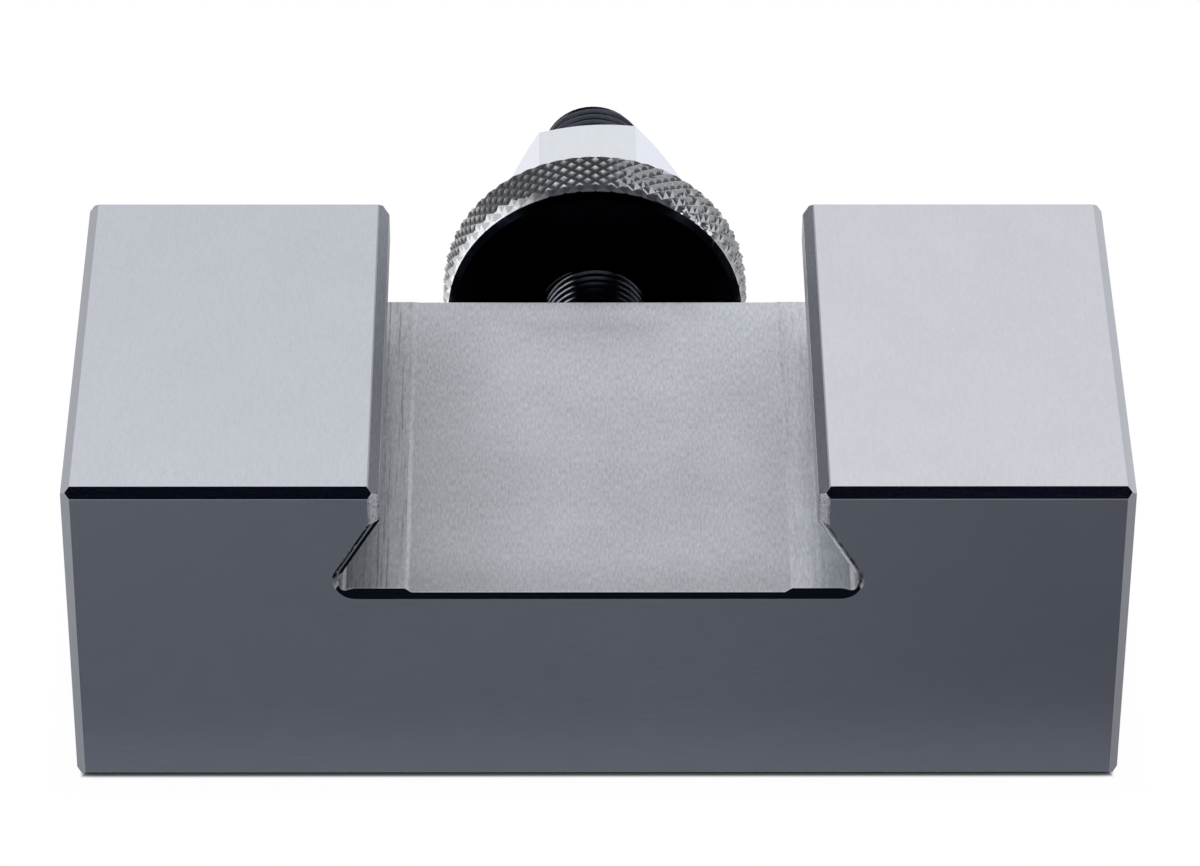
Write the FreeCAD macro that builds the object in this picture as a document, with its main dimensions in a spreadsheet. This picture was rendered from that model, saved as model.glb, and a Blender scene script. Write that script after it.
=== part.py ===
import FreeCAD, Part
import math
import os
import Sketcher

# A small quick change tool holder, lying on its tool side with the dovetail up.
# X runs along the holder, Y from its lower face to the height stud, Z up from the surface it lies on.
# The origin is the middle of the footprint, at the bottom.

SIZES = {
    # The ground steel block
    "block_length": 75.0,
    "block_depth": 35.4,
    "block_height": 26.2,
    "edge_chamfer": 0.66,
    # The dovetail recess across the top, and how far its ends are flared
    "mouth_width": 30.6,
    "mouth_chamfer": 0.85,
    "neck_depth": 3.1,
    "dovetail_depth": 9.0,
    "dovetail_angle": 60.0,
    "dovetail_corner": 0.6,
    "relief_width": 27.3,
    "relief_depth": 0.2,
    "relief_blend": 0.5,
    "side_flare": 0.8,
    "floor_flare": 0.55,
    "flare_corner": 1.7,
    # The tool slot along the underside
    "lip_width": 8.0,
    "slot_width": 13.2,
    "slot_depth": 12.5,
    "slot_corner": 0.5,
    "slot_flare": 0.4,
    # The height stud and its hole
    "stud_diameter": 7.8,
    "stud_length": 38.2,
    "stud_height": 11.7,
    "stud_seat": 9.6,
    "stud_chamfer": 0.6,
    "drill_diameter": 6.8,
    "drill_depth": 1.2,
    "drill_point": 118.0,
    # The knurled thumb nut
    "nut_gap": 5.3,
    "flange_diameter": 23.3,
    "flange_width": 5.4,
    "flange_chamfer": 0.9,
    "knurl_depth": 0.4,
    "knurls_around": 60,
    "knurl_rows": 10,
    "hub_diameter": 13.4,
    "hub_length": 4.2,
    "hub_chamfer": 0.4,
    # The hex jam nut
    "jam_across_flats": 13.0,
    "jam_face_diameter": 12.3,
    "jam_thickness": 6.8,
    "jam_turn": 4.8,
    # The set screws that clamp the tool
    "screw_diameter": 7.9,
    "screw_length": 20.0,
    "screw_height": 6.25,
    "screw_margin": 8.0,
    "screw_pitch": 13.5,
    "screw_inset": 0.2,
    "screw_chamfer": 0.7,
    "cup_diameter": 4.6,
    "cup_depth": 1.1,
    "socket_flats": 4.0,
    "socket_depth": 4.0,
    # Every thread: radial room round its crests, and the countersink at a hole's mouth
    "thread_clearance": 0.05,
    "hole_mouth": 0.5,
}

# How far a cut starts outside the surface that it enters.
BEYOND = 1.0

# A flare narrows at this angle as it goes in.
FLARE_TAPER = 45.0

# Two places closer than this are one.
TINY = 1e-4

STUD_REACH = "(sizes.stud_length - sizes.stud_seat)"
BLOCK_FRONT = f"(-1 * (sizes.block_depth + {STUD_REACH}) / 2)"
BLOCK_BACK = f"({BLOCK_FRONT} + sizes.block_depth)"
THUMB_NUT_NEAR = f"({BLOCK_BACK} + sizes.nut_gap)"
JAM_NUT_NEAR = f"({THUMB_NUT_NEAR} + sizes.flange_width + sizes.hub_length)"
STUD_HOLE = "(sizes.stud_diameter / 2 + sizes.thread_clearance)"
SLOT_CEILING = "(sizes.lip_width + sizes.slot_width)"

# Two set screws at each end of the block, clear of the thumb nut's rim.
SCREW_PLACES = [
    "-1 * (sizes.block_length / 2 - sizes.screw_margin)",
    "-1 * (sizes.block_length / 2 - sizes.screw_margin - sizes.screw_pitch)",
    "sizes.block_length / 2 - sizes.screw_margin - sizes.screw_pitch",
    "sizes.block_length / 2 - sizes.screw_margin",
]


def fill_sheet(doc):
    """The driving dimensions, one named cell each."""
    sheet = doc.addObject("Spreadsheet::Sheet", "sizes")
    for row, (alias, value) in enumerate(SIZES.items(), start=1):
        sheet.set(f"A{row}", alias)
        sheet.set(f"B{row}", str(value))
        sheet.setAlias(f"B{row}", alias)
    doc.recompute()


def number(owner, formula):
    """A formula's present value as a plain number."""
    value = owner.evalExpression(formula)
    return float(getattr(value, "Value", value))


def new_body(doc, name, across="0", along="0", up="0"):
    """A piece whose place follows three formulas."""
    body = doc.addObject("PartDesign::Body", name)
    for axis, formula in (("x", across), ("y", along), ("z", up)):
        body.setExpression(f"Placement.Base.{axis}", formula)
    return body


def new_sketch(body, name, role, offset="0", rise="0"):
    """A sketch on one of the body's own planes, moved along its normal and up the plane."""
    plane = next(item for item in body.Origin.OriginFeatures if item.Role == role)
    sketch = body.newObject("Sketcher::SketchObject", name)
    sketch.AttachmentSupport = [(plane, "")]
    sketch.MapMode = "FlatFace"
    sketch.setExpression("AttachmentOffset.Base.z", offset)
    sketch.setExpression("AttachmentOffset.Base.y", rise)
    return sketch


def bind(sketch, kind, *where, formula):
    """One constraint whose value follows a formula."""
    index = sketch.addConstraint(Sketcher.Constraint(kind, *where, number(sketch, formula)))
    sketch.setExpression(f"Constraints[{index}]", formula)


def pin_point(sketch, geometry, end, across, up):
    """Hold a point at two formulas, measured from the sketch's origin."""
    bind(sketch, "DistanceX", -1, 1, geometry, end, formula=across)
    bind(sketch, "DistanceY", -1, 1, geometry, end, formula=up)


def corner_arc(spots, i, radius):
    """The centre of a rounded corner, where its arc meets both sides, and whether it turns left."""
    before = (spots[i - 1] - spots[i]).normalize()
    after = (spots[(i + 1) % len(spots)] - spots[i]).normalize()
    half = before.getAngle(after) / 2
    trim = radius / math.tan(half)
    centre = spots[i] + (before + after).normalize() * (radius / math.sin(half))
    return centre, spots[i] + before * trim, spots[i] + after * trim, before.cross(after).z < 0


def draw_outline(sketch, corners):
    """A closed outline. A corner is two formulas, across and up, and a third where it is rounded."""
    spots = [FreeCAD.Vector(number(sketch, c[0]), number(sketch, c[1]), 0) for c in corners]
    count, first_line = len(corners), sketch.GeometryCount
    arcs = {i: corner_arc(spots, i, number(sketch, c[2])) for i, c in enumerate(corners) if len(c) == 3}
    for i in range(count):
        following = (i + 1) % count
        start = arcs[i][2] if i in arcs else spots[i]
        end = arcs[following][1] if following in arcs else spots[following]
        sketch.addGeometry(Part.LineSegment(start, end))
    for i, corner in enumerate(corners):
        line_in, line_out = first_line + (i - 1) % count, first_line + i
        if i not in arcs:
            sketch.addConstraint(Sketcher.Constraint("Coincident", line_in, 2, line_out, 1))
            pin_point(sketch, line_out, 1, corner[0], corner[1])
            continue
        centre, touch_in, touch_out, turns_left = arcs[i]
        circle = Part.Circle(centre, FreeCAD.Vector(0, 0, 1), number(sketch, corner[2]))
        first, last = (touch_in, touch_out) if turns_left else (touch_out, touch_in)
        arc = sketch.addGeometry(Part.ArcOfCircle(circle, circle.parameter(first), circle.parameter(last)))
        point = sketch.addGeometry(Part.Point(spots[i]), True)
        pin_point(sketch, point, 1, corner[0], corner[1])
        sketch.addConstraint(Sketcher.Constraint("PointOnObject", point, 1, line_in))
        sketch.addConstraint(Sketcher.Constraint("PointOnObject", point, 1, line_out))
        end_in, end_out = (1, 2) if turns_left else (2, 1)
        sketch.addConstraint(Sketcher.Constraint("Tangent", line_in, 2, arc, end_in))
        sketch.addConstraint(Sketcher.Constraint("Tangent", line_out, 1, arc, end_out))
        bind(sketch, "Radius", arc, formula=corner[2])


def feature(body, kind, name, sketch, formulas=(), **settings):
    """A feature of the body made from a sketch."""
    made = body.newObject(f"PartDesign::{kind}", name)
    made.Profile = sketch
    for key, value in settings.items():
        setattr(made, key, value)
    for key, formula in formulas:
        made.setExpression(key, formula)
    body.Document.recompute()
    return made


def turn(body, kind, name, role, axis, corners, offset="0", rise="0"):
    """A full turn of a half profile round an axis of its sketch."""
    sketch = new_sketch(body, f"{name}_profile", role, offset, rise)
    draw_outline(sketch, corners)
    return feature(body, kind, name, sketch, ReferenceAxis=(sketch, [axis]))


def flare(body, name, base, size, is_mouth):
    """Chamfer the edges round the mouth of a passage, which are told from the rest by a test."""
    edges = [f"Edge{i}" for i, edge in enumerate(base.Shape.Edges, start=1) if is_mouth(edge)]
    made = body.newObject("PartDesign::Chamfer", name)
    made.Base = (base, edges)
    made.setExpression("Size", size)
    body.Document.recompute()
    return made


def mirrored(right):
    """Complete an outline that is the same on both sides of the vertical."""
    return right + [(f"-1 * {corner[0]}", *corner[1:]) for corner in reversed(right)]


def cut_dovetail(body):
    """The recess that grips the tool post: chamfered mouth, neck, slants and a relieved floor."""
    shoulder = "(sizes.block_height - sizes.neck_depth)"
    floor = "(sizes.block_height - sizes.dovetail_depth)"
    slope = "tan(sizes.dovetail_angle * 1 deg)"
    neck = "(sizes.mouth_width / 2)"
    corners = [
        (f"({neck} + sizes.mouth_chamfer + {BEYOND})", f"sizes.block_height + {BEYOND}"),
        (neck, "sizes.block_height - sizes.mouth_chamfer"),
        (neck, shoulder),
        (f"({neck} + ({shoulder} - {floor}) / {slope})", floor, "sizes.dovetail_corner"),
    ]
    section = new_sketch(body, "dovetail_section", "XZ_Plane")
    draw_outline(section, mirrored(corners))
    feature(body, "Pocket", "dovetail", section, Type="ThroughAll")

    lean = "(sizes.side_flare / sin(sizes.dovetail_angle * 1 deg))"
    low = f"({floor} - sizes.floor_flare)"
    flared = [
        (f"({neck} + sizes.side_flare)", "sizes.block_height"),
        (f"({neck} + sizes.side_flare)", f"{shoulder} + {slope} * ({lean} - sizes.side_flare)"),
        (f"({neck} + ({shoulder} - {low}) / {slope} + {lean})", low, "sizes.flare_corner"),
    ]
    depth = [("Length", "sizes.side_flare")]
    for name, end, from_back in (
        ("front_flare", "0", False),
        ("back_flare", "-1 * sizes.block_depth", True),
    ):
        section = new_sketch(body, f"{name}_section", "XZ_Plane", end)
        draw_outline(section, mirrored(flared))
        feature(body, "Pocket", name, section, depth, TaperAngle=-FLARE_TAPER, Reversed=from_back)

    relief = [
        ("(sizes.relief_width / 2 + sizes.relief_blend)", f"{floor} + sizes.relief_depth"),
        ("(sizes.relief_width / 2 - sizes.relief_blend)", f"{floor} - sizes.relief_depth"),
    ]
    section = new_sketch(body, "relief_section", "XZ_Plane")
    draw_outline(section, mirrored(relief))
    feature(body, "Pocket", "floor_relief", section, Type="ThroughAll")


def cut_tool_slot(body):
    """The channel that holds the tool's shank, open at the underside and at both ends."""
    near, far = "sizes.lip_width", SLOT_CEILING
    opening = f"(sizes.slot_flare + {BEYOND})"
    section = new_sketch(body, "slot_section", "YZ_Plane")
    draw_outline(section, [
        (f"{near} - {opening}", f"-{BEYOND}"),
        (near, "sizes.slot_flare"),
        (near, "sizes.slot_depth", "sizes.slot_corner"),
        (far, "sizes.slot_depth", "sizes.slot_corner"),
        (far, "sizes.slot_flare"),
        (f"{far} + {opening}", f"-{BEYOND}"),
    ])
    slot = feature(body, "Pocket", "tool_slot", section, Type="ThroughAll", SideType="Symmetric")
    low, high = number(body, near), number(body, far)
    mouth, ceiling = number(body, "sizes.slot_flare"), number(body, "sizes.slot_depth")
    half = number(body, "sizes.block_length / 2")
    for name, place in (("right_flare", half), ("left_flare", -half)):

        def is_mouth(edge, place=place):
            on_end = all(abs(v.X - place) < TINY and low - TINY < v.Y < high + TINY for v in edge.Vertexes)
            return on_end and mouth < edge.CenterOfMass.z < ceiling + TINY

        slot = flare(body, name, slot, "sizes.slot_flare", is_mouth)


def cut_stud_hole(body):
    """A blind tapped hole for the stud, with the tap drill's cone at its end."""
    back, drill = "sizes.block_depth", "(sizes.drill_diameter / 2)"
    step = f"({back} - sizes.stud_seat)"
    cone = f"{drill} / tan(sizes.drill_point / 2 * 1 deg)"
    corners = [
        (f"{back} + {BEYOND}", "0"),
        (f"{back} + {BEYOND}", f"{STUD_HOLE} + sizes.hole_mouth + {BEYOND}"),
        (f"{back} - sizes.hole_mouth", STUD_HOLE),
        (step, STUD_HOLE),
        (step, drill),
        (f"{step} - sizes.drill_depth", drill),
        (f"{step} - sizes.drill_depth - {cone}", "0"),
    ]
    turn(body, "Groove", "stud_hole", "YZ_Plane", "H_Axis", corners, rise="sizes.stud_height")


def cut_screw_holes(body):
    """Tapped holes from the back face through to the tool slot."""
    back, hole = "sizes.block_depth", "(sizes.screw_diameter / 2 + sizes.thread_clearance)"
    corners = [
        (f"{back} + {BEYOND}", "0"),
        (f"{back} + {BEYOND}", f"{hole} + sizes.hole_mouth + {BEYOND}"),
        (f"{back} - sizes.hole_mouth", hole),
        (f"{SLOT_CEILING} - {BEYOND}", hole),
        (f"{SLOT_CEILING} - {BEYOND}", "0"),
    ]
    for i, place in enumerate(SCREW_PLACES, start=1):
        turn(body, "Groove", f"screw_hole_{i}", "YZ_Plane", "H_Axis", corners, place, "sizes.screw_height")


def chamfer_along(body, name, role, across, up):
    """Chamfer the block's four edges that stand on a plane, at two places across it and two up it."""
    section = new_sketch(body, f"{name}_section", role)
    cut = f"(sizes.edge_chamfer + {BEYOND})"
    for place, outwards in zip(across, ("-1", "1")):
        for height, upwards in zip(up, ("-1", "1")):
            outside, above = f"{place} + {outwards} * {BEYOND}", f"{height} + {upwards} * {BEYOND}"
            draw_outline(section, [
                (outside, above),
                (f"{place} - {outwards} * {cut}", above),
                (outside, f"{height} - {upwards} * {cut}"),
            ])
    feature(body, "Pocket", name, section, Type="ThroughAll", SideType="Symmetric")


def make_block(doc):
    """The holder itself, ground all over, with a small chamfer on every outer edge."""
    body = new_body(doc, "tool_block", along=BLOCK_FRONT)
    half = "(sizes.block_length / 2)"
    section = new_sketch(body, "bar_section", "XZ_Plane")
    draw_outline(section, mirrored([(half, "0"), (half, "sizes.block_height")]))
    feature(body, "Pad", "bar", section, [("Length", "sizes.block_depth")], Reversed=True)
    length, depth, height = (f"-1 * {half}", half), ("0", "sizes.block_depth"), ("0", "sizes.block_height")
    chamfer_along(body, "long_edges", "YZ_Plane", depth, height)
    chamfer_along(body, "deep_edges", "XZ_Plane", length, height)
    chamfer_along(body, "upright_edges", "XY_Plane", length, depth)
    cut_dovetail(body)
    cut_tool_slot(body)
    cut_stud_hole(body)
    cut_screw_holes(body)


def make_stud(doc):
    """A threaded rod, chamfered at both ends and screwed down to the step of its hole."""
    body = new_body(doc, "height_stud", along=f"{BLOCK_BACK} - sizes.stud_seat", up="sizes.stud_height")
    radius, length = "sizes.stud_diameter / 2", "sizes.stud_length"
    corners = [
        ("0", "0"),
        (f"{radius} - sizes.stud_chamfer", "0"),
        (radius, "sizes.stud_chamfer"),
        (radius, f"{length} - sizes.stud_chamfer"),
        (f"{radius} - sizes.stud_chamfer", length),
        ("0", length),
    ]
    turn(body, "Revolution", "rod", "XY_Plane", "V_Axis", corners)


def knurled_roll(crest, valley, low, high, around, rows):
    """A roller covered in pointed diamonds, each of four facets that rise to its middle."""

    def spot(radius, half_knurls, row):
        angle = math.pi * half_knurls / around
        along = low + (high - low) * row / rows
        return FreeCAD.Vector(radius * math.cos(angle), along, radius * math.sin(angle))

    def face(*points):
        return Part.Face(Part.makePolygon([*points, points[0]]))

    faces = []
    for row in range(rows + 1):
        rim = []
        for start in range(row % 2, row % 2 + 2 * around, 2):
            left, right = spot(valley, start, row), spot(valley, start + 2, row)
            top = spot(crest, start + 1, row)
            rim += [left, top]
            for neighbour in (row - 1, row + 1):
                if 0 <= neighbour <= rows:
                    tip = spot(valley, start + 1, neighbour)
                    faces += [face(left, top, tip), face(top, right, tip)]
        if row in (0, rows):
            faces.append(face(*rim))
    shell = Part.makeShell(faces)
    shell.sewShape()
    return Part.makeSolid(shell)


def make_thumb_nut(doc):
    """A turned nut with a hub, whose rim is pressed into a diamond knurl between two chamfers."""
    blank = new_body(doc, "nut_blank")
    crest, margin = "sizes.flange_diameter / 2", "sizes.knurl_depth"
    rim, hub = "sizes.flange_chamfer", "sizes.hub_diameter / 2"
    length = "(sizes.flange_width + sizes.hub_length)"
    corners = [
        (f"{STUD_HOLE} + sizes.hole_mouth", "0"),
        (f"{crest} - {rim}", "0"),
        (f"{crest} + {margin}", f"{rim} + {margin}"),
        (f"{crest} + {margin}", f"sizes.flange_width - {rim} - {margin}"),
        (f"{crest} - {rim}", "sizes.flange_width"),
        (hub, "sizes.flange_width"),
        (hub, f"{length} - sizes.hub_chamfer"),
        (f"{hub} - sizes.hub_chamfer", length),
        (f"{STUD_HOLE} + sizes.hole_mouth", length),
        (STUD_HOLE, f"{length} - sizes.hole_mouth"),
        (STUD_HOLE, "sizes.hole_mouth"),
    ]
    turn(blank, "Revolution", "nut_turning", "XY_Plane", "V_Axis", corners)

    sheet = doc.getObject("sizes")
    crest_radius = sheet.flange_diameter / 2
    half_row = sheet.flange_width / sheet.knurl_rows
    roll = knurled_roll(
        crest_radius,
        crest_radius - sheet.knurl_depth,
        -half_row,
        sheet.flange_width + half_row,
        int(sheet.knurls_around),
        int(sheet.knurl_rows) + 2,
    )
    sleeve_radius = crest_radius + 2 * sheet.knurl_depth + BEYOND
    sleeve_base = FreeCAD.Vector(0, -half_row / 2, 0)
    sleeve = Part.makeCylinder(
        sleeve_radius, sheet.flange_width + half_row, sleeve_base, FreeCAD.Vector(0, 1, 0)
    )
    tool = doc.addObject("Part::Feature", "knurl_tool")
    tool.Shape = sleeve.cut(roll)

    nut = doc.addObject("Part::Cut", "thumb_nut")
    nut.Base = blank
    nut.Tool = tool
    nut.setExpression("Placement.Base.y", THUMB_NUT_NEAR)
    nut.setExpression("Placement.Base.z", "sizes.stud_height")
    doc.recompute()


def hexagon(corner):
    """The six corners of a hexagon, at that distance from its middle, with one corner to the right."""
    return [(f"{corner} * cos({angle} deg)", f"{corner} * sin({angle} deg)") for angle in range(0, 360, 60)]


def make_jam_nut(doc):
    """A hex nut, chamfered on both faces, jammed against the thumb nut's hub."""
    body = new_body(doc, "jam_nut", along=JAM_NUT_NEAR, up="sizes.stud_height")
    body.Placement = FreeCAD.Placement(body.Placement.Base, FreeCAD.Rotation(FreeCAD.Vector(0, -1, 0), 1))
    body.setExpression("Placement.Rotation.Angle", "sizes.jam_turn * 1 deg")
    corner = "sizes.jam_across_flats / 2 / cos(30 deg)"
    section = new_sketch(body, "hexagon", "XZ_Plane")
    draw_outline(section, hexagon(corner))
    feature(body, "Pad", "hex_bar", section, [("Length", "sizes.jam_thickness")], Reversed=True)

    face, thick = "sizes.jam_face_diameter / 2", "sizes.jam_thickness"
    outside = f"({corner} + {BEYOND})"
    fall = f"({outside} - {face}) * tan(30 deg)"
    inside = f"{face} - {BEYOND} / tan(30 deg)"
    near = [(inside, f"-{BEYOND}"), (outside, f"-{BEYOND}"), (outside, fall)]
    far = [(inside, f"{thick} + {BEYOND}"), (outside, f"{thick} - {fall}"), (outside, f"{thick} + {BEYOND}")]
    turn(body, "Groove", "near_chamfer", "XY_Plane", "V_Axis", near)
    turn(body, "Groove", "far_chamfer", "XY_Plane", "V_Axis", far)

    mouth = f"{STUD_HOLE} + sizes.hole_mouth + {BEYOND}"
    bore = [
        ("0", f"-{BEYOND}"),
        (mouth, f"-{BEYOND}"),
        (STUD_HOLE, "sizes.hole_mouth"),
        (STUD_HOLE, f"{thick} - sizes.hole_mouth"),
        (mouth, f"{thick} + {BEYOND}"),
        ("0", f"{thick} + {BEYOND}"),
    ]
    turn(body, "Groove", "bore", "XY_Plane", "V_Axis", bore)


def make_set_screw(doc, label, place):
    """A set screw with a cup point towards the tool and a hex socket at its outer end."""
    tip = f"{BLOCK_FRONT} + {SLOT_CEILING} + sizes.screw_inset"
    body = new_body(doc, label, place, tip, "sizes.screw_height")
    radius, length = "sizes.screw_diameter / 2", "sizes.screw_length"
    corners = [
        ("0", "sizes.cup_depth"),
        ("sizes.cup_diameter / 2", "0"),
        (f"{radius} - sizes.screw_chamfer", "0"),
        (radius, "sizes.screw_chamfer"),
        (radius, f"{length} - sizes.screw_chamfer"),
        (f"{radius} - sizes.screw_chamfer", length),
        ("0", length),
    ]
    turn(body, "Revolution", f"{label}_rod", "XY_Plane", "V_Axis", corners)
    corner = "sizes.socket_flats / 2 / cos(30 deg)"
    section = new_sketch(body, f"{label}_hexagon", "XZ_Plane", f"-1 * {length}")
    draw_outline(section, hexagon(corner))
    feature(body, "Pocket", f"{label}_socket", section, [("Length", "sizes.socket_depth")], Reversed=True)


def save_pieces(doc, labels):
    """Stop on any failed object, then write each piece to its own file."""
    for item in doc.Objects:
        if {"Invalid", "Error"} & set(item.State):
            raise RuntimeError(f"{item.Label} failed: {item.State}")
    os.makedirs("parts", exist_ok=True)
    for label in labels:
        shape = doc.getObjectsByLabel(label)[0].Shape
        if shape.isNull() or not shape.isValid():
            raise RuntimeError(f"{label} has no valid shape")
        shape.exportStep(f"parts/{label}.step")
        print(label, round(shape.Volume, 2), shape.BoundBox)


document = FreeCAD.newDocument("tool_holder")
fill_sheet(document)
make_block(document)
make_stud(document)
make_thumb_nut(document)
make_jam_nut(document)
screw_labels = [f"set_screw_{i}" for i in range(1, len(SCREW_PLACES) + 1)]
for screw_label, screw_place in zip(screw_labels, SCREW_PLACES):
    make_set_screw(document, screw_label, screw_place)
document.recompute()
save_pieces(document, ["tool_block", "height_stud", "thumb_nut", "jam_nut", *screw_labels])
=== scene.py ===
import math

import bpy
from mathutils import Matrix, Vector


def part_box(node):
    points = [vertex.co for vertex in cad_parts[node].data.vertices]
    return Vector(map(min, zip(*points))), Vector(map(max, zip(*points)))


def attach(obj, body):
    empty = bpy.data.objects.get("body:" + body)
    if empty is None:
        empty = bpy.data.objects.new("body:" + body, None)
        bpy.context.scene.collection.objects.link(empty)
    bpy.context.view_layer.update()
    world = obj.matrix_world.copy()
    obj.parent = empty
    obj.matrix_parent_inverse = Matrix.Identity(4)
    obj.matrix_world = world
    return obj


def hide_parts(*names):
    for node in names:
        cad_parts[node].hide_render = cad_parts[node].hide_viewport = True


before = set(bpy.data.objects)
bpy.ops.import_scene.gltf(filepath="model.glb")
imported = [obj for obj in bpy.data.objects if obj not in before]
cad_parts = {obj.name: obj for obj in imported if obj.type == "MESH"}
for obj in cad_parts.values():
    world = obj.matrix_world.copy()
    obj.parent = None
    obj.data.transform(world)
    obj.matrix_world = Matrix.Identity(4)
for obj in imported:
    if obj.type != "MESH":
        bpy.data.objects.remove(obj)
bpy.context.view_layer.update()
MM = 0.001


# The holder itself: one block of hardened tool steel, ground on every outer face and chamfered.
# The dovetail across its top is milled and finished along its length, and its ends are deburred by
# hand. The slot underneath takes the tool's shank.

EDGE_BREAK = 0.025 * MM
MESH_JOIN = 1e-7
FLAT_TURN = math.radians(0.3)
SHARP_TURN = math.radians(25)

SHADED_LEFT_LAND_STEEL = (0.525, 0.545, 0.595)
LIT_RIGHT_LAND_STEEL = (0.603, 0.618, 0.664)
SIDE_STEEL = (0.46, 0.485, 0.545)
CHAMFER_STEEL = (0.30, 0.31, 0.35)
SHADED_MOUTH_STEEL = (0.155, 0.165, 0.20)
MILLED_STEEL = (0.350, 0.362, 0.392)
LIT_STRIP_STEEL = (0.47, 0.485, 0.52)
STREAK_STEEL = (0.11, 0.11, 0.115)
BURR_STEEL = (0.65, 0.67, 0.72)
SHADE_AND_MARK_BLACK = (0.0028, 0.0037, 0.0068)
HIGHLIGHT_STEEL = (0.62, 0.63, 0.66)

# Places on the block, in millimetres, where one surface ends and the next begins.
HALF_LENGTH, HALF_DEPTH, MIDDLE_DEPTH = 37.5, 17.7, 14.3
RECESS_EDGE, RECESS_FLOOR, LAND = 19.9, 16.3, 26.0
MOUTH_FOOT, NECK_FOOT, RELIEF_EDGE = 25.4, 23.2, 13.5
# A direction whose part along an axis is larger than this lies along it.
ALONG = 0.95


class Wire:
    """A value that varies over a surface. An expression on it adds Math nodes."""

    def __init__(self, finish, output):
        self.finish, self.output = finish, output

    def __add__(self, other):
        return self.finish.math("ADD", self, other)

    def __sub__(self, other):
        return self.finish.math("SUBTRACT", self, other)

    def __rsub__(self, other):
        return self.finish.math("SUBTRACT", other, self)

    def __mul__(self, other):
        return self.finish.math("MULTIPLY", self, other)

    def __gt__(self, other):
        return self.finish.math("GREATER_THAN", self, other)

    def __lt__(self, other):
        return self.finish.math("LESS_THAN", self, other)

    def __abs__(self):
        return self.finish.math("ABSOLUTE", self)

    __radd__ = __add__
    __rmul__ = __mul__


class Finish:
    """A material, made from expressions on the place and the direction of its surface."""

    def __init__(self, name, **constants):
        self.material = bpy.data.materials.new(name)
        self.material.use_nodes = True
        self.tree = self.material.node_tree
        self.shader = self.tree.nodes["Principled BSDF"]
        for socket, value in constants.items():
            self.set(socket.replace("_", " "), value)

    def set(self, socket, value):
        self.plug(self.shader.inputs[socket], value)

    def plug(self, socket, value):
        if isinstance(value, Wire):
            self.tree.links.new(value.output, socket)
        elif socket.type == "RGBA":
            socket.default_value = (*value, 1.0)
        else:
            socket.default_value = value

    def node(self, kind, settings, inputs, output=0):
        """One node: its settings are set first, then its sockets."""
        made = self.tree.nodes.new(f"ShaderNode{kind}")
        for key, value in settings.items():
            setattr(made, key, value)
        for key, value in inputs.items():
            self.plug(made.inputs[key], value)
        return Wire(self, made.outputs[output])

    def math(self, operation, *values):
        return self.node("Math", {"operation": operation}, dict(enumerate(values)))

    def place(self):
        """The three object coordinates, in millimetres."""
        return self.parts(self.node("TexCoord", {}, {}, "Object"), 1 / MM)

    def facing(self):
        """The three parts of the surface's direction."""
        return self.parts(self.node("TexCoord", {}, {}, "Normal"), 1.0)

    def parts(self, vector, scale):
        scaled = self.node("VectorMath", {"operation": "SCALE"}, {0: vector, "Scale": scale})
        return [self.node("SeparateXYZ", {}, {0: scaled}, axis) for axis in range(3)]

    def vector(self, x, y, z):
        return self.node("CombineXYZ", {}, {0: x, 1: y, 2: z})

    def noise(self, vector, scale, detail=2.0, roughness=0.5):
        inputs = {"Vector": vector, "Scale": scale, "Detail": detail, "Roughness": roughness}
        return self.node("TexNoise", {}, inputs)

    def band(self, value, low, high, start=0.0, end=1.0):
        """Value carried from one range to another, with smooth ends."""
        settings = {"interpolation_type": "SMOOTHSTEP"}
        inputs = {"Value": value, "From Min": low, "From Max": high, "To Min": start, "To Max": end}
        return self.node("MapRange", settings, inputs)

    def mix(self, factor, first, second):
        return self.node("Mix", {"data_type": "RGBA"}, {0: factor, 6: first, 7: second}, 2)

    def shade(self, colour, amount):
        """A colour made lighter or darker by a varying amount."""
        grey = self.vector(amount, amount, amount)
        settings = {"data_type": "RGBA", "blend_type": "MULTIPLY"}
        return self.node("Mix", settings, {0: 1.0, 6: colour, 7: grey}, 2)

    def bump(self, height, depth):
        self.set("Normal", self.node("Bump", {}, {"Height": height, "Distance": depth, "Strength": 1.0}))


def select_only(piece):
    bpy.ops.object.select_all(action="DESELECT")
    piece.select_set(True)
    bpy.context.view_layer.objects.active = piece


def apply_modifier(piece, kind, **settings):
    """Add one modifier and make it part of the mesh."""
    modifier = piece.modifiers.new(kind.lower(), kind)
    for key, value in settings.items():
        setattr(modifier, key, value)
    select_only(piece)
    bpy.ops.object.modifier_apply(modifier=modifier.name)


def machined_copy(name, node, edge_break):
    """A piece on a CAD piece's shape: triangles merged, flats made whole, sharp edges broken."""
    piece = bpy.data.objects.new(name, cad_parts[node].data.copy())
    bpy.context.scene.collection.objects.link(piece)
    select_only(piece)
    bpy.ops.object.mode_set(mode="EDIT")
    bpy.ops.mesh.select_all(action="SELECT")
    bpy.ops.mesh.remove_doubles(threshold=MESH_JOIN)
    bpy.ops.mesh.dissolve_limited(angle_limit=FLAT_TURN)
    bpy.ops.object.mode_set(mode="OBJECT")
    if edge_break:
        apply_modifier(
            piece, "BEVEL", width=edge_break, segments=2, limit_method="ANGLE", angle_limit=SHARP_TURN,
            miter_outer="MITER_ARC", use_clamp_overlap=True,
        )
    bpy.ops.object.shade_smooth_by_angle(angle=SHARP_TURN)
    apply_modifier(piece, "WEIGHTED_NORMAL", mode="FACE_AREA", weight=100, keep_sharp=True)
    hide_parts(node)
    return piece


block = machined_copy("ground_block", "tool_block", EDGE_BREAK)
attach(block, "holder")

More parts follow.
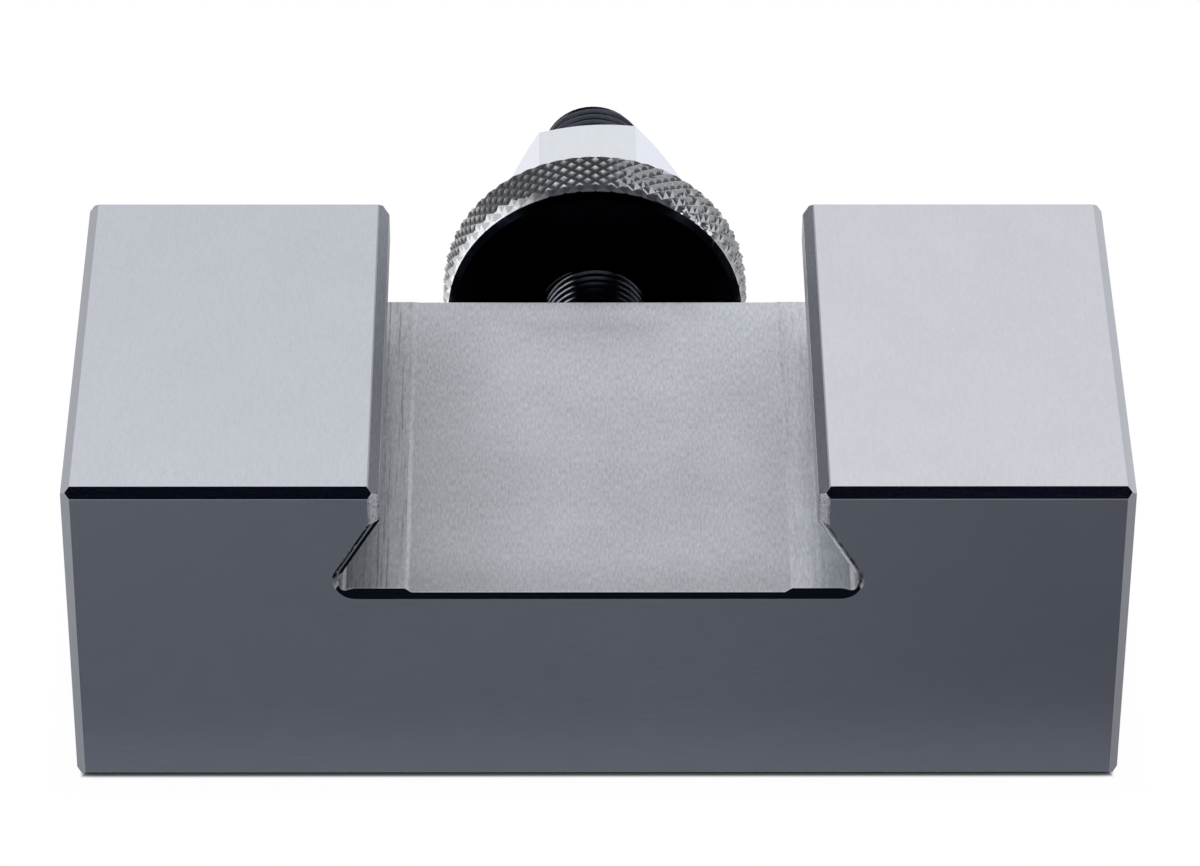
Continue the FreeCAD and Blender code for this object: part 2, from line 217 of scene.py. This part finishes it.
steel = Finish("ground tool steel", Metallic=1.0)
x, y, z = steel.place()
nx, ny, nz = steel.facing()
inwards = HALF_DEPTH - abs(y + MIDDLE_DEPTH)
on_end = abs(ny) > ALONG
left, inner = x < 0.0, abs(x) < 20.0
slanted = (abs(nx) < ALONG) * (abs(ny) < ALONG) * (abs(nz) < ALONG)
front_chamfer = (z > MOUTH_FOOT - 0.1) * (abs(nx) < 0.3)
recess = (abs(x) < RECESS_EDGE) * (z > RECESS_FLOOR) * (z < LAND + 0.1)
recess = recess * (1.0 - on_end) * (1.0 - front_chamfer)
passage = recess * (abs(ny) < 0.3)

# Ground faces: their tone follows their grinding, and painted light and shade, set face by face, stand in
# for the parts of the room each one reflects.
lengthways = steel.noise(steel.vector(x * 7, y * 1.5, z * 7), 1.0, 4.0, 0.75)
crossways = steel.noise(steel.vector(x * 0.4, y * 7, z * 7), 1.0, 3.0, 0.6)
cloud = steel.noise(steel.vector(x, y * 0.8, z), 0.22, 3.0, 0.65)
grain = steel.node("Mix", {"data_type": "FLOAT"}, {0: abs(ny) > 0.75, 2: lengthways, 3: crossways})
# Painted light and shade on the chamfers: the right outer ones lightest, the others darker, and the
# upright ones darker still, the right ones most.
chamfer = 1.34 - left * 0.31 - inner * 0.25 + left * inner * 0.30
painted_upright_shade = (abs(nz) < 0.1) * (0.54 - left * 0.30)
base = steel.mix(slanted, SIDE_STEEL, steel.shade(CHAMFER_STEEL, chamfer * (1.0 - painted_upright_shade)))
# Painted light and shade: the right land is painted lighter than the left.
painted_land_light = steel.mix(left, LIT_RIGHT_LAND_STEEL, SHADED_LEFT_LAND_STEEL)
base = steel.mix((nz > 0.9) * (z > LAND), base, painted_land_light)
# The front and back faces carry painted shade: darker towards the right, and lighter near the bottom.
painted_end_shade = steel.band(x, 0.0, 40.0, 0.0, 0.24) * steel.band(z, 2.0, 12.0, 0.3, 1.0)
painted_end_shade = painted_end_shade - steel.band(z, 0.0, 8.0, 0.24, 0.0)
base = steel.mix(on_end, base, steel.shade(base, 1.0 - painted_end_shade))

# The milled passage, with a raised strip along each side of its floor.
# The passage's floor is painted lighter towards the back.
base = steel.mix(passage, base, steel.shade(MILLED_STEEL, steel.band(y, -22.0, 3.0, 1.13, 1.41)))
# The mouth's chamfers are painted dark as painted shade, lighter towards the back and on the left.
painted_mouth_light = 0.74 + left * 0.19 + steel.band(y, -22.0, 3.0) * (0.14 + left * 0.21)
base = steel.mix(passage * (z > MOUTH_FOOT), base, steel.shade(SHADED_MOUTH_STEEL, painted_mouth_light))
strip = passage * (z < NECK_FOOT + 0.2) * steel.band(abs(x), RELIEF_EDGE, RELIEF_EDGE + 0.2)
# Painted light and shade on the floor: a painted reflection of the nut at the back middle, the left side
# and the front edge darker, and along the strips lighter towards the front, the left strip darker and the
# right one lighter.
painted_nut_reflection = steel.band(abs(x), 7.5, 2.0) * steel.band(y, -0.5, 3.4, 0.0, 0.85)
painted_floor_light = steel.band(x, -14.0, -2.0, 0.80, 1.04) * steel.band(y, -31.5, -27.0, 0.86, 1.0) + painted_nut_reflection
painted_strip_light = steel.band(y, -22.0, 3.0, 1.10, 1.00) - left * steel.band(y, -22.0, 3.0, 0.20, 0.11)
painted_strip_light = painted_strip_light + (1.0 - left) * steel.band(x, 13.9, 14.7, 0.0, 0.15)
painted_floor_light = painted_floor_light * (1.0 - strip) + painted_strip_light * strip
base = steel.mix(passage * (z < MOUTH_FOOT), base, steel.shade(base, painted_floor_light))
streak = steel.noise(steel.vector(x * 4.5, y * 0.07, z * 4.5), 1.0, 5.0, 0.8)
base = steel.mix(strip * steel.band(streak, 0.50, 0.66) * (0.25 + left * 0.50), base, STREAK_STEEL)
# Painted shade darkens the left strip towards brown, and painted light makes the right strip lighter.
base = steel.mix(strip * left * 0.20, base, (0.15, 0.14, 0.13))
base = steel.mix(strip * (1.0 - left) * 0.30, base, LIT_STRIP_STEEL)
# Painted highlights: the slopes at the strips' inner edges, thin light lines along the strips, and a thin
# line where the floor meets its flares.
lit_slope = (z < 17.3) * (abs(nx) > 0.15) * (abs(nx) < 0.6) * 0.50
left_highlight_line = steel.band(abs(x + RELIEF_EDGE), 0.26, 0.05) * steel.band(y, -25.0, 3.0, 0.36, 0.10)
highlight_lines = steel.band(abs(x - 15.6), 0.18, 0.0) * 0.40 + left_highlight_line
painted_edge_highlights = passage * (z < 17.6) * steel.math("MAXIMUM", lit_slope, highlight_lines)
painted_flare_highlight = passage * (nz > 0.85) * (z < 18.0) * steel.band(inwards - z, -16.55, -16.62) * 0.5
base = steel.mix(steel.math("MAXIMUM", painted_edge_highlights, painted_flare_highlight), base, HIGHLIGHT_STEEL)
# Painted shade darkens the fillets along the floor's sides, more on the left.
root = passage * (z < 18.6) * steel.band(abs(x), 17.62, 17.70) * (0.26 + left * 0.16)
base = steel.shade(base, 1.0 - root)
# Painted shade darkens the passage's floor towards its sides, around the middle of its length.
painted_light = steel.band(abs(x), 5.0, 12.5) * steel.band(abs(y + 6.0), 10.0, 2.0)
grinding = (grain - 0.5) * (0.20 + passage * 0.95)
clouding = (cloud - 0.5) * (0.08 + passage * 0.16)
tone = 1.0 + grinding + clouding - painted_light * passage * 0.10
base = steel.shade(base, tone)

# The flares at its ends, cut by hand: bright and rough at the neck and torn along the slants. The
# floor's flares and a band along the left slant are painted black, as painted shade.
flare = recess * (abs(ny) > 0.5)
# The floor's flares are painted black: painted shade.
under = flare * (nz > 0.3) * (z < 19.0)
beside = flare * (nz < 0.3)
chatter = steel.noise(steel.vector(x, y, z), 6.0, 4.0, 0.8)
scratch = steel.noise(steel.vector(x * 1.5, y * 5.0, z * 1.5), 1.0, 4.0, 0.8)
base = steel.mix(beside, base, steel.shade(BURR_STEEL, chatter * 6.0 - 1.55))
slant = beside * (z < NECK_FOOT)
# The right slant is grey with a white line along its ridge; the left one is plain grey.
ridge = steel.band(abs(inwards - 0.60), 0.20, 0.08) * steel.band(scratch, 0.40, 0.50, 0.45, 1.0)
slant_tone = steel.mix(left, steel.mix(ridge, (0.30, 0.31, 0.34), (1.0, 1.0, 1.0)), (0.36, 0.37, 0.40))
base = steel.mix(slant, base, slant_tone)
corner = slant * (z < 18.5)
base = steel.mix(corner * 0.7, base, steel.shade((0.42, 0.43, 0.45), chatter * 6.0 - 2.0))
steel.set("Base Color", base)

# A band along the left slant takes painted shade, in the same black as the torn, gouged and specked
# marks.
band = left * (1.0 - corner) * steel.band(inwards, 0.40, 0.46)
torn = left * steel.band(scratch, 0.42, 0.47) * (inwards < 0.28)
gouged = steel.band(abs(inwards - 0.22), 0.20, 0.08) * steel.band(scratch, 0.44, 0.54)
gouge = (1.0 - left) * gouged * 0.9
specks = (beside - slant) * steel.band(chatter, 0.50, 0.54) * steel.band(abs(inwards - 0.4), 0.20, 0.28)
marks = steel.math("MAXIMUM", band, torn * (1.0 - corner * 0.8) + gouge)
shade_and_marks = under + slant * marks + specks * 0.8
black_shade_and_marks = steel.node("BsdfDiffuse", {}, {"Color": SHADE_AND_MARK_BLACK})
surface = steel.node("MixShader", {}, {0: shade_and_marks, 1: Wire(steel, steel.shader.outputs[0]), 2: black_shade_and_marks})
steel.plug(steel.tree.nodes["Material Output"].inputs["Surface"], surface)

fine = 0.25 + recess * 0.10 + (grain - 0.5) * (1.0 - on_end) * 0.12
steel.set("Roughness", fine - slanted * (1.0 - recess) * 0.10 + beside * 0.05)
steel.bump(grain * (1.0 - slanted) * (1.0 - on_end) + chatter * beside * 8.0, 0.0015 * MM)
block.data.materials.clear()
block.data.materials.append(steel.material)


# The height stud: an M8 steel rod with a fine thread along its whole length, in black oxide. It is
# screwed home to the step of its hole and stays there, while both nuts run along it.

STUD_PITCH = 0.75 * MM
THREAD_DEPTH = 0.6134
STEPS_A_TURN = 40
TURNS_OVER = 2
# Places on the stud, in millimetres: its axis above the floor, and where its thread's crests are.
STUD_AXIS = 11.7
CREST_START, CREST_FULL, STUD_EDGE, NUT_MIDDLE = 3.79, 3.88, 4.2, 12.0


def threaded_rod(name, node, pitch, chamfer):
    """A rod with a real helical thread along Y, in the place of a plain CAD cylinder."""
    low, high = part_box(node)
    radius = (high.x - low.x) / 2
    root = radius - THREAD_DEPTH * pitch
    turns = math.ceil((high.y - low.y) / pitch) + 2 * TURNS_OVER
    start = low.y - TURNS_OVER * pitch
    bpy.ops.object.select_all(action="DESELECT")
    bpy.ops.mesh.primitive_plane_add(size=pitch)
    rod = bpy.context.active_object
    rod.name = name
    bpy.ops.object.mode_set(mode="EDIT")
    bpy.ops.mesh.merge(type="CENTER")
    bpy.ops.transform.translate(value=(0, start, root))
    flat, flank, height = 0.125, 0.3125, radius - root
    for share, rise in ((flat, 0.0), (flank, height), (flat, 0.0), (flank, -height), (flat, 0.0)):
        bpy.ops.mesh.extrude_region_move(TRANSFORM_OT_translate={"value": (0, share * pitch, rise)})
    bpy.ops.object.mode_set(mode="OBJECT")
    apply_modifier(
        rod, "SCREW", axis="Y", angle=2 * math.pi, screw_offset=pitch, iterations=turns,
        steps=STEPS_A_TURN, render_steps=STEPS_A_TURN, use_merge_vertices=True, merge_threshold=MESH_JOIN,
    )
    middle = (low + high) / 2
    rod.data.transform(Matrix.Translation((middle.x, 0.0, middle.z)))
    bpy.ops.object.mode_set(mode="EDIT")
    bpy.ops.mesh.select_all(action="SELECT")
    bpy.ops.mesh.remove_doubles(threshold=10 * MESH_JOIN)
    for place, normal in ((low.y, (0, -1, 0)), (high.y, (0, 1, 0))):
        bpy.ops.mesh.select_all(action="SELECT")
        bpy.ops.mesh.bisect(
            plane_co=(0, place, 0), plane_no=normal, use_fill=True, clear_outer=True, threshold=MESH_JOIN,
        )
    bpy.ops.mesh.select_all(action="SELECT")
    bpy.ops.mesh.normals_make_consistent(inside=False)
    bpy.ops.object.mode_set(mode="OBJECT")
    for vertex in rod.data.vertices:
        away = Vector((vertex.co.x - middle.x, vertex.co.z - middle.z))
        inset = min(vertex.co.y - low.y, high.y - vertex.co.y)
        most = radius - max(0.0, chamfer - inset)
        if away.length > most:
            away *= most / away.length
            vertex.co.x, vertex.co.z = middle.x + away.x, middle.z + away.y
    bpy.ops.object.shade_smooth_by_angle(angle=SHARP_TURN)
    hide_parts(node)
    return rod


def from_stud_axis(finish, x, z):
    """How far a place is from the stud's axis, in millimetres."""
    return finish.math("SQRT", x * x + (z - STUD_AXIS) * (z - STUD_AXIS))


stud = threaded_rod("threaded_stud", "height_stud", STUD_PITCH, 0.6 * MM)
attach(stud, "holder")

oxide = Finish("black oxide")
x, y, z = oxide.place()
speckle = oxide.noise(oxide.vector(x, y, z), 3.0, 3.0)
away = from_stud_axis(oxide, x, z)
# The crests between the block and the thumb nut are worn bare, and carry painted glints on the upper
# sides of the stud, stronger on the left.
painted_light = oxide.band(away, CREST_START, CREST_FULL) * (away < STUD_EDGE) * (y < NUT_MIDDLE)
painted_light = painted_light * oxide.band(z, 15.35, 14.95)
painted_light = painted_light * oxide.band(z, 12.6, 13.8) * (1.0 - (x > 0.0) * 0.75)
# Painted light: the stud is lighter between the block and the thumb nut than beyond the nut.
shade = oxide.mix(y < NUT_MIDDLE, (0.079, 0.085, 0.103), (0.030, 0.033, 0.045))
shade = oxide.mix(painted_light, shade, (0.75, 0.78, 0.85))
oxide.set("Base Color", oxide.shade(shade, 0.8 + speckle * 0.4))
oxide.set("Roughness", 0.10 + (y > NUT_MIDDLE) * 0.10 + speckle * 0.10 + painted_light * 0.4)
oxide.set("Metallic", 1.0 - painted_light)
stud.data.materials.append(oxide.material)


# The thumb nut: turned from steel bar, its rim cut with a diamond knurl between two chamfers, and
# blackened all over. Its knurl's points are rubbed bare, and they and part of its rim carry painted
# highlights.

# Distances from the nut's axis, in millimetres: its plain face ends, and the knurl's points begin
# and end. The rim's chamfer reaches this far along Y.
FACE_EDGE, POINT_START, POINT_END = 11.2, 11.36, 11.60
RIM_END = 9.65

thumb_nut = machined_copy("knurled_thumb_nut", "thumb_nut", 0.0)
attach(thumb_nut, "thumb_nut")
black = Finish("blackened knurl", Metallic=1.0)
x, y, z = black.place()
nx, ny, nz = black.facing()
speckle = black.noise(black.vector(x, y, z), 2.5, 3.0)
away = from_stud_axis(black, x, z)
# Painted highlights on the knurl's points, strongest at the top middle and on the far left; the flanks
# are painted lighter on the right.
crest = black.band(away, POINT_START, POINT_END) * black.band(speckle, 0.35, 0.62, 0.45, 1.0)
glint = black.band(abs(x + 0.6), 4.6, 1.6, 0.38, 1.0) + black.band(x, -8.0, -9.5, 0.0, 0.60)
glint = glint + black.band(x, 3.0, 5.0, 0.0, 0.12)
flank = black.shade((0.065, 0.068, 0.082), black.band(x, 0.5, 3.0, 1.0, 1.3))
metal = black.mix(crest, flank, black.shade((1.0, 1.0, 1.0), glint))
# Painted light: the facets that border one family of the knurl's grooves are lighter on the right.
along = (nx * (z - STUD_AXIS) - nz * x) * ny < 0.0
metal = black.mix(along * black.band(x, 0.5, 3.0), metal, (0.50, 0.51, 0.545))
# The rim's chamfer carries painted highlights: bright on the left, in speckled glints near the right,
# faint at the far right.
rim = (y < RIM_END + black.band(x, -3.0, -8.0) * 0.8) * (away > FACE_EDGE)
painted_right_glints = black.band(abs(x - 7.5), 2.0, 1.0) * black.band(speckle, 0.48, 0.56)
lit = black.band(x, -3.0, -8.0) + painted_right_glints * 0.9 + black.band(x, 8.5, 9.8, 0.0, 0.40)
metal = black.mix(rim, metal, black.mix(lit, (0.06, 0.063, 0.072), (0.95, 0.96, 1.0)))
black.set("Base Color", black.mix(away < FACE_EDGE, metal, (0.003, 0.0035, 0.006)))
black.set("Roughness", 0.14 + speckle * 0.14)
thumb_nut.data.materials.clear()
thumb_nut.data.materials.append(black.material)


# The jam nut: a plated hex nut of the stud's thread, chamfered on both faces. It is tightened
# against the thumb nut's hub, so that the height stays set.

jam_nut = machined_copy("bright_jam_nut", "jam_nut", 0.04 * MM)
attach(jam_nut, "jam_nut")
bright = Finish("bright plated steel", Metallic=1.0)
x, y, z = bright.place()
nx = bright.facing()[0]
speckle = bright.noise(bright.vector(x * 2, y * 0.6, z * 2), 1.0, 3.0)
# The faces turned sideways are painted lighter and bluer than the top flat: painted reflection.
plating_and_painted_sides = bright.mix(abs(nx) > 0.4, (0.725, 0.755, 0.800), (0.74, 0.77, 0.86))
bright.set("Base Color", bright.shade(plating_and_painted_sides, 0.97 + speckle * 0.06))
bright.set("Roughness", 0.22 + speckle * 0.08)
jam_nut.data.materials.clear()
jam_nut.data.materials.append(bright.material)


# The tool clamping screws: black socket set screws with a coarse thread, in tapped holes that run
# from the back face to the tool slot.

SCREW_PITCH = 1.25 * MM
SOCKET_CORNERS = 4.0 * MM / math.cos(math.radians(30))
SOCKET_DEPTH = 4.0 * MM
CUP_RADIUS = 2.3 * MM
CUP_DEPTH = 1.1 * MM


def cut_away(piece, add_cutter, **settings):
    """Cut a primitive's shape out of a piece."""
    bpy.ops.object.select_all(action="DESELECT")
    add_cutter(rotation=(math.radians(-90), 0, 0), **settings)
    cutter = bpy.context.active_object
    apply_modifier(piece, "BOOLEAN", operation="DIFFERENCE", solver="EXACT", object=cutter)
    bpy.data.objects.remove(cutter)


for number in range(1, 5):
    node = f"set_screw_{number}"
    screw = threaded_rod(f"clamp_screw_{number}", node, SCREW_PITCH, 0.7 * MM)
    low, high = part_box(node)
    middle = (low + high) / 2
    cut_away(
        screw, bpy.ops.mesh.primitive_cylinder_add, vertices=6, radius=SOCKET_CORNERS / 2,
        depth=2 * SOCKET_DEPTH, location=(middle.x, high.y, middle.z),
    )
    cut_away(
        screw, bpy.ops.mesh.primitive_cone_add, vertices=40, radius1=2 * CUP_RADIUS, radius2=0.0,
        depth=2 * CUP_DEPTH, location=(middle.x, low.y, middle.z),
    )
    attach(screw, node)
    screw.data.materials.append(oxide.material)


# The studio: white paper under the holder and white surroundings, with three weak lamps. Grey and
# black cards in front of the holder, seen only in reflections, give its ground faces their depth.

FLOOR_SIZE, FLOOR_DROP = 6.0, 0.02 * MM
ROOM_LEVEL, BACKDROP_LEVEL = 0.95, 1.0
CAMERA_LENS = 179.5
CAMERA_PLACE = (-2.97 * MM, -360.3 * MM, 281.0 * MM)
CAMERA_TURN, CAMERA_DIP, CAMERA_ROLL = (math.radians(angle) for angle in (0.528, 37.25, 0.296))

bpy.ops.object.select_all(action="DESELECT")
bpy.ops.mesh.primitive_plane_add(size=FLOOR_SIZE, location=(0, 0, -FLOOR_DROP))
floor = bpy.context.active_object
floor.name = "floor"
paper = Finish("white paper", Roughness=0.9)
x, y, _ = paper.place()
away = paper.math("MAXIMUM", abs(x) - HALF_LENGTH, abs(y + MIDDLE_DEPTH) - HALF_DEPTH)
# The paper just under the block's edges is painted dark grey: a painted contact shadow.
painted_contact_shadow = paper.mix(paper.band(away, -0.6, -0.2), (0.2, 0.2, 0.22), (0.93, 0.93, 0.93))
paper.set("Base Color", painted_contact_shadow)
glow = paper.node("Emission", {}, {"Color": (1.0, 1.0, 1.0)})
lit = paper.band(away, -0.44, -0.10, 0.0, 0.95) + paper.band(away, 0.0, 3.0, 0.0, 0.05)
seen = paper.node("LightPath", {}, {}, "Is Camera Ray") * lit
surface = paper.node("MixShader", {}, {0: seen, 1: Wire(paper, paper.shader.outputs[0]), 2: glow})
paper.plug(paper.tree.nodes["Material Output"].inputs["Surface"], surface)
floor.data.materials.append(paper.material)


def reflection_card(name, size, middle, normal, brightness):
    """A card that only reflections see."""
    bpy.ops.object.select_all(action="DESELECT")
    bpy.ops.mesh.primitive_plane_add(size=1.0, location=middle)
    card = bpy.context.active_object
    card.name = name
    card.scale = (*size, 1.0)
    card.rotation_mode = "QUATERNION"
    card.rotation_quaternion = Vector(normal).to_track_quat("Z", "Y")
    surface = Finish(name, Roughness=1.0, Emission_Strength=1.0)
    surface.set("Base Color", (0.0, 0.0, 0.0))
    surface.set("Specular IOR Level", 0.0)
    surface.set("Emission Color", brightness)
    card.data.materials.append(surface.material)
    card.visible_camera = card.visible_diffuse = card.visible_shadow = False
    card.visible_transmission = card.visible_volume_scatter = False


reflection_card("front_card", (0.11, 0.1215), (0, -0.0929, 0.0003), (0, 0, 1), (0.175, 0.182, 0.200))
# The contact card stands in for the shadowed paper under the block's front edge: painted shade, seen in
# its bottom chamfer's reflection.
reflection_card("contact_card", (0.074, 0.003), (0, -0.0305, 0.0002), (0, 0, 1), (0.02, 0.02, 0.02))
reflection_card("camera_card", (0.60, 0.26), (0, -0.21, 0.28), (0, 0.6, -0.8), (0.002, 0.004, 0.012))

world = bpy.data.worlds.new("studio")
bpy.context.scene.world = world
world.use_nodes = True
surround = world.node_tree
background = surround.nodes["Background"]
background.inputs["Color"].default_value = (1.0, 1.0, 1.0, 1.0)
rays = surround.nodes.new("ShaderNodeLightPath")
strength = surround.nodes.new("ShaderNodeMix")
strength.inputs[2].default_value = ROOM_LEVEL
strength.inputs[3].default_value = BACKDROP_LEVEL
surround.links.new(rays.outputs["Is Camera Ray"], strength.inputs[0])
surround.links.new(strength.outputs[0], background.inputs["Strength"])

for name, place, size, energy in (
    ("softbox", (0.05, 0.10, 0.55), (0.90, 0.60), 0.5),
    ("left_strip", (-0.42, -0.19, 0.14), (0.10, 0.30), 0.35),
    ("right_strip", (0.42, -0.19, 0.14), (0.10, 0.30), 0.3),
):
    light = bpy.data.lights.new(name, "AREA")
    light.shape = "RECTANGLE"
    light.size, light.size_y = size
    light.energy = energy
    lamp = bpy.data.objects.new(name, light)
    lamp.location = place
    lamp.rotation_euler = (Vector((0, 0, 0.02)) - lamp.location).to_track_quat("-Z", "Y").to_euler()
    bpy.context.scene.collection.objects.link(lamp)

camera_data = bpy.data.cameras.new("camera")
camera_data.sensor_width = 36.0
camera_data.lens = CAMERA_LENS
camera = bpy.data.objects.new("camera", camera_data)
camera.location = CAMERA_PLACE
forward = Vector((math.sin(CAMERA_TURN), math.cos(CAMERA_TURN), -math.tan(CAMERA_DIP)))
turn = forward.to_track_quat("-Z", "Y").to_matrix().to_4x4()
roll = Matrix.Rotation(CAMERA_ROLL, 4, "Z")
camera.matrix_world = Matrix.Translation(camera.location) @ turn @ roll
bpy.context.scene.collection.objects.link(camera)
bpy.context.scene.camera = camera
bpy.context.scene.view_settings.view_transform = "Standard"
